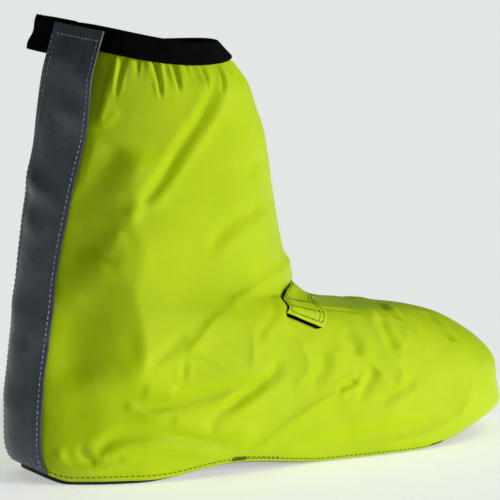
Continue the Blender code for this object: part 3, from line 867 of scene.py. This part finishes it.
def wall(piece, thickness, rounding=EDGE_ROUNDING):
    """Gives a sheet its thickness inwards, and rounds its edges."""
    solid = piece.modifiers.new("wall", "SOLIDIFY")
    solid.thickness = thickness
    solid.offset = -1.0
    solid.use_even_offset = True
    edge = piece.modifiers.new("rounded edge", "BEVEL")
    edge.width = rounding
    edge.segments = 2
    edge.limit_method = "ANGLE"
    edge.angle_limit = radians(50)


# Rows of the shell's turned-in hem, from inside round its edge to the outside, and of its
# turned-in collar: (metres from the edge, metres out of the smooth upper)
HEM_TURN = [(0.0070, -0.0013), (0.0040, -0.0013), (0.0012, -0.0013), (0.0004, -0.0011),
            (0.0000, -0.0006), (0.0004, -0.0001), (0.0010, 0.0)]
COLLAR_TURN = [(0.0006, 0.0), (0.0001, -0.0003), (0.0001, -0.0009), (0.0008, -0.0013),
               (0.0060, -0.0013)]
# Rows between them at the hem, up the body and under the cuff: first place up, last, count
SHELL_ROWS = [(0.0075, 0.052, 12), (0.058, 0.945, 164), (0.952, 0.992, 6)]
UPPER_WAY_UP = 0.185
SHELL_CLOTH = (0.72, 0.26)
LINING_FROM = 0.012
LINING_TO = 0.985
LINING_GAP = 0.0002
LINING_SLACK = 0.0013


def shell_rows():
    """Every row of the shell, as its place up the upper and its distance out of it."""
    rows = [(away / UPPER_WAY_UP, out) for away, out in HEM_TURN]
    for first, last, count in SHELL_ROWS:
        rows += [(at, 0.0) for at in np.linspace(first, last, count)]
    rows += [(1 - away / UPPER_WAY_UP, out) for away, out in COLLAR_TURN]
    return np.array(rows).T


def make_upper_shell(finish):
    """The coated outer face of the upper, with its creases, turned in at hem and collar."""
    ats, outs = shell_rows()
    columns_round, outer_share, gathered = 450, 0.68, 0.35

    def place(u, v):
        half = np.where(u < outer_share, u / outer_share, 1 + (u - outer_share) / (1 - outer_share))
        turn = pi * (half + gathered * np.sin(2 * pi * half) / (2 * pi))
        row = np.rint(v * (len(ats) - 1)).astype(int)
        points, _ = dressed(turn, ats[row], outs[row])
        return points

    mesh = cloth_mesh("upper_shell", columns_round, len(ats) - 1, place, SHELL_CLOTH, closed=True)
    link(mesh, finish, "coated_fabric", "upper")


def make_upper_lining(finish):
    """The inner face of the upper."""
    def place(u, v):
        at = LINING_FROM + (LINING_TO - LINING_FROM) * v
        slack = LINING_SLACK * ease((0.955 - at) / 0.03) * ease((at - 0.03) / 0.03)
        points, _ = dressed(2 * pi * u, at, -FABRIC - LINING_GAP - slack)
        return points

    mesh = cloth_mesh("upper_lining", 250, 120, place, (0.72, 0.24), closed=True)
    link(mesh, finish, "coated_fabric", "upper")


def make_cuff(finish):
    """The elastic band, folded over the collar's edge."""
    # millimetres down from the edge, and out of the upper
    section = MM * np.array([
        (11.2, 0.4), (12, 0.9), (11.9, 1.6), (10.8, 2), (8, 1.9),
        (5, 1.9), (2, 1.9), (0.4, 1.8), (-0.6, 1.1), (-0.9, 0.2),
        (-0.9, -0.8), (-0.6, -1.6), (0.4, -2.3), (3, -2.5),
        (7, -2.5), (10.8, -2.5), (11.6, -2.1), (11.2, -1.6),
        (7, -1.6), (2, -1.6), (0.1, -0.2), (2, 0.3), (7, 0.3),
    ])

    def place(u, v):
        turn = 2 * pi * u
        row = np.rint(v * len(section)).astype(int) % len(section)
        down, out = section[row].T
        low = at_distance(turn, CUFF_HEIGHT, True)
        at = 1 - (1 - low) * np.maximum(down, 0) / CUFF_HEIGHT
        edge = upper_points(turn, 1.0)
        up = unit(edge - upper_points(turn, low))
        ripple = 0.00022 * np.sin(46 * turn) * ease(down / CUFF_HEIGHT)
        return skin(turn, at, out + ripple * (out > 0)) + up * np.maximum(-down, 0)[:, None]

    mesh = cloth_mesh("cuff_elastic", 260, len(section), place, (0.24, 0.03), closed=True)
    link(mesh, finish, "elastic_webbing", "cuff_band")


STRIP_LENGTH = 0.235
BULGE_SLANT = 0.35


def sewn_edge(from_edge, thicker, folded, over, dent, seam):
    """How far a folded edge stands out, with a dent along its seam."""
    return thicker * (1 - ease((from_edge - folded) / over)) - dent * hump(from_edge - seam, 0.0006)


def strip_relief(u, v):
    """Soft bulges and thicker folded edges of the reflective strip."""
    lift = sewn_edge(np.minimum(u, 1 - u) * CLOSURE_WIDTH, 0.0004, 0.0060, 0.0016, 0.0003, 0.0034)
    for middle_up, middle_across, wide, tall, height in STRIP_BULGES:
        across = (u - middle_across) * CLOSURE_WIDTH
        along = (v - middle_up) * STRIP_LENGTH + BULGE_SLANT * across
        lift = lift + MM * height * hump(across, MM * wide) * hump(along, MM * tall)
    return lift


def make_closure_strip(finish):
    """The reflective strip up the back, with folded and sewn edges."""
    def place(u, v):
        wavy = 0.010 * np.sin(17 * v + 0.5) * np.sin(41 * v) * (u - 0.5)
        return strip_points(u + wavy, v, CLOSURE_THICKNESS + strip_relief(u, v))

    mesh = cloth_mesh("reflective_strip", 44, 190, place, (CLOSURE_WIDTH, STRIP_LENGTH))
    wall(link(mesh, finish, "reflective_fabric", "closure_strip"), CLOSURE_THICKNESS, 0.00035)


def make_closure_tab(finish):
    """The tab of hook tape that comes out from under the strip."""
    end, across, up, out = tab_place()

    def place(u, v):
        free = 1 - ease(u / 0.55)
        ragged = 0.0003 * np.sin(95 * u) * np.abs(2 * v - 1)
        bowed = 0.0006 * free * np.sin(9 * v + 5 * u) - 0.0008 * free ** 2
        return (end + (TAB_LENGTH * u)[:, None] * across
                + (TAB_HEIGHT * (v - 0.5) + ragged)[:, None] * up
                + np.minimum(bowed, 0)[:, None] * out)

    mesh = cloth_mesh("closure_tab_tape", 60, 34, place, (TAB_LENGTH, TAB_HEIGHT))
    wall(link(mesh, finish, "hook_tape", "closure_tab"), TAB_THICKNESS)


def strap_out(u):
    """How far the strap's outer face stands off the upper: raised by its hook tape at first."""
    taped, landed = strap_share(HOOK_TAPE_LENGTH), strap_share(HOOK_TAPE_LENGTH * 1.8)
    raised = 1 - ease((u - taped) / (landed - taped))
    return SLACK / 2 + STRAP_CLOTH + (TAPE_CLOTH + SLACK / 3) * raised


def make_instep_strap(finish):
    """The strap over the instep, with folded edges."""
    def place(u, v):
        from_edge = np.minimum(v, 1 - v) * STRAP_WIDTH
        folded = sewn_edge(from_edge, 0.0003, 0.0050, 0.0012, 0.0002, 0.0020)
        return strap_points(u, v, STRAP_WIDTH, strap_out(u) + folded)

    mesh = cloth_mesh("strap_over_instep", 150, 24, place, (0.16, STRAP_WIDTH))
    wall(link(mesh, finish, "coated_fabric", "instep_strap"), STRAP_CLOTH)


def make_strap_tape(finish):
    """The hook tape under the strap's closed end."""
    taped = strap_share(HOOK_TAPE_LENGTH)
    overhang = HOOK_TAPE_OVERHANG / HOOK_TAPE_LENGTH * taped

    def place(u, v):
        along = -overhang + (taped + overhang) * u
        ragged = 0.01 * np.sin(60 * u) * np.abs(2 * v - 1)
        width, out = STRAP_WIDTH + HOOK_TAPE_OVERHANG, SLACK / 2 + TAPE_CLOTH
        return strap_points(along, v + ragged, width, out)

    mesh = cloth_mesh("strap_tape", 44, 24, place, (HOOK_TAPE_LENGTH, STRAP_WIDTH))
    wall(link(mesh, finish, "hook_tape", "strap_hook_tape"), TAPE_CLOTH)


def sole_outline(turn):
    """The sole's outline, just inside the hem."""
    nudge = 0.01
    rim = upper_points(turn, 0.0)
    along = upper_points(turn + nudge, 0.0) - upper_points(turn - nudge, 0.0)
    inwards = unit(np.stack([-along[:, 1], along[:, 0], np.zeros(len(along))], axis=1))
    return (rim + inwards * (FABRIC + SOLE_INSET))[:, :2]


def cleat_outline(turn):
    """The cleat opening's rounded outline, turned the same way round as the sole's."""
    roundness = 0.62
    side = np.stack([-np.cos(turn), -np.sin(turn)], axis=1)
    side = np.sign(side) * np.abs(side) ** roundness
    middle = [LENGTH * CLEAT_MIDDLE, BALL_WIDTH * through(*columns(BEND), np.array([CLEAT_MIDDLE]))[0]]
    return np.array(middle) + side * [CLEAT_LENGTH / 2, CLEAT_WIDTH / 2]


def make_sole(finish):
    """The sole panel with rounded edges and a bound cleat opening."""
    # round the panel's section: share of the way in from outline to opening, share of the
    # thickness, and metres in from whichever edge is near
    section = [(0, 0.75, 0.0), (0, 0.30, 0.0), (0, 0.08, 0.0004), (0, 0.0, 0.0011)]
    section += [(share, 0.0, 0.0) for share in np.linspace(0.03, 0.90, 22)]
    section += [(0.95, 0.0, 0), (1, 0.04, -0.0004), (1, 0.3, 0), (1, 0.8, 0), (1, 1.12, -0.0005),
                (0.955, 1.12, 0), (0.94, 1.0, 0)]
    section += [(share, 1.0, 0.0) for share in np.linspace(0.90, 0.03, 22)]
    section += [(0, 1.0, 0.0009), (0, 0.94, 0.0003)]
    section = np.array(section)

    def place(u, v):
        turn = 2 * pi * u
        row = np.rint(v * len(section)).astype(int) % len(section)
        share, thick, inset = section[row].T
        outer, opening = sole_outline(turn), cleat_outline(turn)
        way = unit(opening - outer)
        spot = outer + (opening - outer) * share[:, None] + way * inset[:, None]
        z = underside(spot[:, 0]) + SOLE_THICKNESS * thick
        return np.column_stack([spot, z])

    mesh = cloth_mesh("sole_underfoot", 220, len(section), place, (0.7, 0.1), closed=True)
    solid = bmesh.new()
    solid.from_mesh(mesh)
    bmesh.ops.recalc_face_normals(solid, faces=solid.faces)
    solid.to_mesh(mesh)
    solid.free()
    own_map = mesh.uv_layers["cloth"].data
    for corner in mesh.loops:
        spot = mesh.vertices[corner.vertex_index].co
        own_map[corner.index].uv = (spot.x + spot.y, spot.x - spot.y)
    link(mesh, finish, "sole_panel", "sole")


def along_line(line, pitch):
    """Places at even distances along a line of points, and its directions there."""
    walked = walked_along(line)
    spots = np.arange(pitch / 2, walked[-1] - pitch / 4, pitch)

    def reached(spots):
        return np.stack([np.interp(spots, walked, line[:, k]) for k in range(3)], axis=1)

    ways = unit(reached(spots + pitch / 4) - reached(spots - pitch / 4))
    return reached(spots), ways, spots / walked[-1]


def add_stitches(sewing, line, normals, pitch=STITCH_PITCH, length=STITCH_LENGTH, lean=0.0):
    """Rows of small threads lying along a line."""
    centres, ways, shares = along_line(line, pitch)
    places = np.linspace(0, 1, len(line))
    outs = unit(np.stack([np.interp(shares, places, normals[:, k]) for k in range(3)], axis=1))
    sized = Matrix.Diagonal((length / 2, THREAD / 2 * 1.2, THREAD / 2, 1))
    for centre, way, out in zip(centres, ways, outs):
        way = unit(way + np.cross(out, way) * lean)
        side = unit(np.cross(out, way))
        turned = Matrix((way, side, np.cross(way, side))).transposed().to_4x4()
        spot = Matrix.Translation(Vector(centre + SHIFT + out * THREAD * 0.25))
        bmesh.ops.create_uvsphere(sewing, u_segments=6, v_segments=4, radius=1.0,
                                  matrix=spot @ turned @ sized @ Matrix.Rotation(pi / 2, 4, "Y"))


def sewn(name, sewing, finish, slot):
    """A piece of all the threads in one bmesh."""
    mesh = bpy.data.meshes.new(name)
    sewing.to_mesh(mesh)
    sewing.free()
    link(mesh, finish, slot)


def hem_line(first, last, up):
    """A line this far up from the hem between two turns in degrees."""
    turn = np.radians(np.linspace(first, last, 160))
    return dressed(turn, at_distance(turn, up, False))


# Degrees round the hem: runs of its seam, bar tacks with the turn that each trails off to, and
# the tacks where the hem goes under the toe
HEM_RUNS = ((14, 72), (84, 126), (234, 276), (288, 344))
BAR_TACKS = ((72, 75.5, 84), (288, 284.5, 276))
TOE_TACKS = ((124, 128), (232, 236))


def make_hem_stitches(thread):
    """The hem's seam on both sides, with its tacks."""
    sewing = bmesh.new()
    for first, last in HEM_RUNS:
        add_stitches(sewing, *hem_line(first, last, HEM_SEAM))
    for first, last, loose in BAR_TACKS:
        for row in range(4):
            line = hem_line(first, last, HEM_SEAM - 0.0008 + 0.0006 * row)
            add_stitches(sewing, *line, TACK_PITCH, TACK_LENGTH, 0.9 - 0.6 * row)
        for row in range(2):
            line = hem_line(last, loose, HEM_SEAM - 0.0002 + 0.0010 * row)
            add_stitches(sewing, *line, 0.0026 + 0.0003 * row, TACK_LENGTH, 0.5 - row)
    for first, last in TOE_TACKS:
        for row in range(2):
            line = hem_line(first, last, HEM_SEAM + 0.0006 * row)
            add_stitches(sewing, *line, TACK_PITCH, lean=0.5)
    sewn("hem_stitches", sewing, thread, "coated_fabric")


def between_places(start, end, steps):
    """Even steps from one (u, v) place to another."""
    return (np.linspace(first, last, steps) for first, last in zip(start, end))


def strip_line(start, end):
    """A line over the reflective strip between two (u, v) places."""
    u, v = between_places(start, end, 220)
    surface = CLOSURE_THICKNESS + strip_relief(u, v)
    line = strip_points(u, v, surface)
    return line, unit(line - strip_points(u, v, surface - MM))


def make_strip_stitches(thread):
    """Two rows along the strip's inner edge, one along its outer edge, and its two ends."""
    sewing = bmesh.new()
    for aside, top in ((0.0018, 0.985), (0.0046, 0.96), (CLOSURE_WIDTH - 0.0022, 0.985)):
        u = aside / CLOSURE_WIDTH
        add_stitches(sewing, *strip_line((u, 0.012), (u, top)))
    for v, first, last in ((0.012, 0.05, 0.95), (0.982, 0.10, 0.92)):
        add_stitches(sewing, *strip_line((first, v), (last, v)), lean=0.3)
    sewn("strip_stitches", sewing, thread, "reflective_fabric")


def strap_line(start, end):
    """A line over the instep strap between two (u, v) places."""
    u, v = between_places(start, end, 120)
    line = strap_points(u, v, STRAP_WIDTH, strap_out(u) + 0.0002)
    return line, unit(line - strap_points(u, v, STRAP_WIDTH, strap_out(u) - MM))


def make_strap_stitches(thread):
    """Rows along both edges of the strap and across its closed end."""
    sewing = bmesh.new()
    taped = strap_share(HOOK_TAPE_LENGTH)
    for v in (0.08, 0.19, 0.94):
        add_stitches(sewing, *strap_line((0.012, v), (0.97, v)), pitch=0.0019, length=0.0016)
    for u in (0.012, taped * 0.20, taped * 0.46):
        add_stitches(sewing, *strap_line((u, 0.08), (u, 0.94)), pitch=0.0018, length=0.0015)
    sewn("strap_stitches", sewing, thread, "coated_fabric")


def make_sole_stitches(thread):
    """The seam round the cleat opening."""
    sewing = bmesh.new()
    outline = cleat_outline(np.linspace(0, 2 * pi, 240))
    spot = outline + unit(outline - outline.mean(axis=0)) * 0.0035
    for height, facing in ((0.00038, -1.0), (SOLE_THICKNESS + 0.00005, 1.0)):
        line = np.column_stack([spot, underside(spot[:, 0]) + height])
        normals = np.tile([0.0, 0.0, facing], (len(line), 1))
        add_stitches(sewing, line, normals, 0.0032, 0.0023)
    sewn("cleat_opening_stitches", sewing, thread, "sole_panel")


CAMERA_TURN = radians(30)
CAMERA_RISE = radians(7)
CAMERA_AWAY = 1.20
LOOK_AT = (0.149, 0.0, 0.109)
FOCAL_PIXELS = 2260
FRAME_PIXELS = 500
SENSOR = 36.0


def set_camera():
    """The photograph's view, in its square frame."""
    level = cos(CAMERA_RISE)
    toward = Vector((-sin(CAMERA_TURN) * level, -cos(CAMERA_TURN) * level, sin(CAMERA_RISE)))
    view = bpy.data.cameras.new("camera")
    view.sensor_width = SENSOR
    view.lens = FOCAL_PIXELS / FRAME_PIXELS * SENSOR
    view.clip_end = 200
    camera = bpy.data.objects.new("camera", view)
    camera.location = Vector(np.array(LOOK_AT) + SHIFT) + toward * CAMERA_AWAY
    camera.rotation_euler = toward.to_track_quat("Z", "Y").to_euler()
    bpy.context.scene.collection.objects.link(camera)
    bpy.context.scene.camera = camera


def soft_light(name, toward, strength, spread, colour):
    """Even light from one direction, as wide in degrees as a softbox would look."""
    light = bpy.data.lights.new(name, "SUN")
    light.energy = strength
    light.angle = radians(spread)
    light.color = colour
    lamp = bpy.data.objects.new(name, light)
    lamp.rotation_euler = Vector(toward).to_track_quat("Z", "Y").to_euler()
    bpy.context.scene.collection.objects.link(lamp)


def set_studio():
    """Plain pale floor and soft light, strongest from the front of the foot."""
    scene = bpy.context.scene
    scene.view_settings.view_transform = "Standard"
    world = bpy.data.worlds.new("studio")
    world.use_nodes = True
    background = world.node_tree.nodes["Background"].inputs
    background["Color"].default_value = (0.78, 1.0, 0.94, 1.0)
    background["Strength"].default_value = 0.085
    scene.world = world
    mesh = bpy.data.meshes.new("studio_floor")
    ground = bmesh.new()
    bmesh.ops.create_grid(ground, x_segments=1, y_segments=1, size=60.0)
    ground.to_mesh(mesh)
    ground.free()
    mesh.materials.append(studio_floor())
    floor = bpy.data.objects.new("studio_floor", mesh)
    scene.collection.objects.link(floor)
    soft_light("key", (0.65, -0.73, 0.20), 2.85, 22, (1.0, 0.96, 0.92))
    soft_light("top", (0.10, 0.15, 1.0), 0.50, 70, (0.84, 1.0, 0.94))


SHIFT = own_to_row()


def main():
    fabric = coated_fabric()
    hooks = hook_tape()
    seam_thread = sewing_thread("seam_thread", (0.060, 0.080, 0.002), (0.115, 0.140, 0.006))
    tape_thread = sewing_thread("tape_thread", (0.22, 0.24, 0.26), (0.40, 0.42, 0.44))
    make_upper_shell(fabric)
    make_upper_lining(lining_fabric())
    make_sole(sole_rubber())
    make_cuff(elastic_webbing())
    make_closure_strip(reflective_fabric())
    make_closure_tab(hooks)
    make_instep_strap(fabric)
    make_strap_tape(hooks)
    make_hem_stitches(seam_thread)
    make_strip_stitches(tape_thread)
    make_strap_stitches(seam_thread)
    make_sole_stitches(tape_thread)
    set_camera()
    set_studio()


main()
